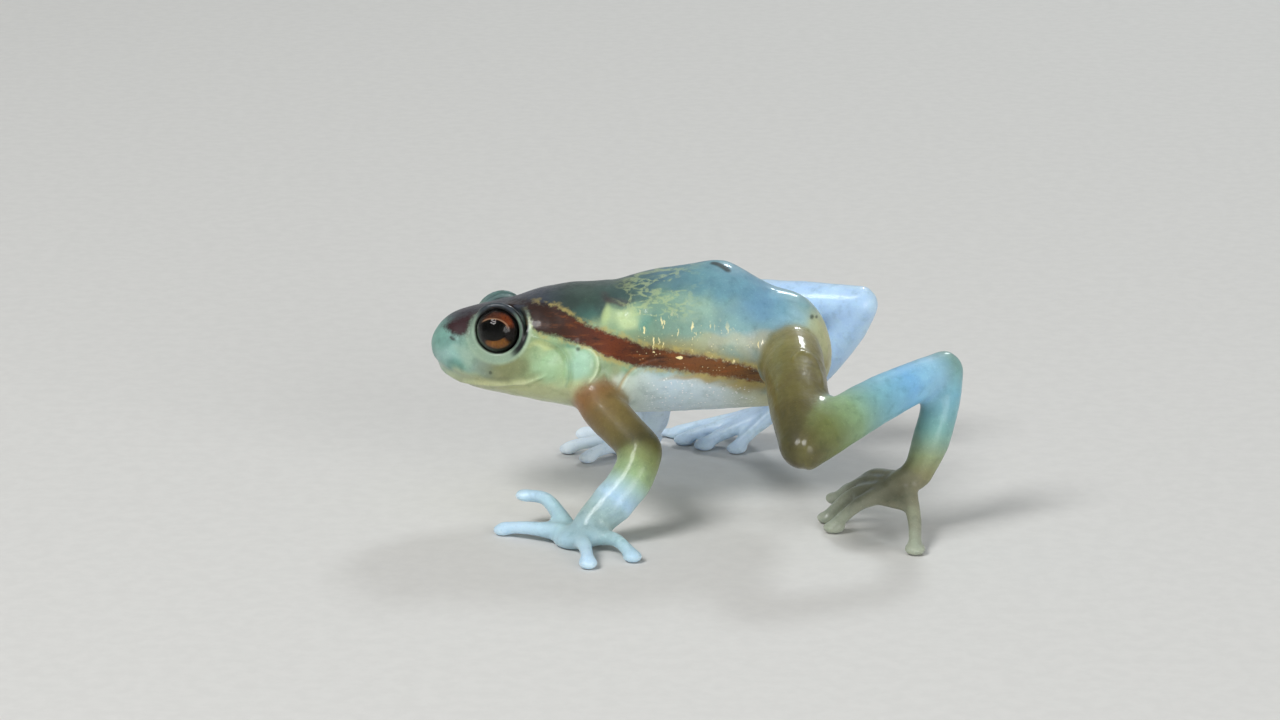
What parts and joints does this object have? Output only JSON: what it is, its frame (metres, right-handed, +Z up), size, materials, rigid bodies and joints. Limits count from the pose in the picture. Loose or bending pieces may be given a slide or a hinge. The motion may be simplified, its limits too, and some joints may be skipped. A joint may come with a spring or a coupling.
{
  "type": "glass frog model",
  "caption": "Small slender frog walking on spread toes, with a blunt snout, side-set eyes, a humped back and long folded hind legs.",
  "frame": {"origin": "centre of the bounding box, at its bottom, on the plane that the hands and feet rest on", "axes": "+X from the snout towards the rump, +Y towards the animal's right side, +Z up"},
  "size_m": [0.033, 0.031, 0.0153],
  "materials": {
    "head_skin": "wet, slightly see-through mint green",
    "body_skin": "wet, slightly see-through blue-white with a rust-brown side stripe",
    "eye": "clear, polished, over a dark brown and copper iris",
    "arm_skin": "wet, slightly see-through peach brown",
    "hand_skin": "wet, slightly see-through blue-white",
    "thigh_skin": "wet, slightly see-through olive",
    "shank_skin": "wet, slightly see-through light blue"
  },
  "bodies": {
    "root": {"head": "head_skin", "torso": "body_skin", "eye_left": "eye", "eye_right": "eye", "upper_arm_left": "arm_skin", "upper_arm_right": "arm_skin", "forearm_left": "hand_skin", "forearm_right": "hand_skin", "hand_left": "hand_skin", "hand_right": "hand_skin", "thigh_left": "thigh_skin", "thigh_right": "thigh_skin", "shank_left": "shank_skin", "shank_right": "shank_skin", "tarsus_left": "shank_skin", "tarsus_right": "shank_skin", "foot_left": "hand_skin", "foot_right": "hand_skin"}
  },
  "joints": []
}
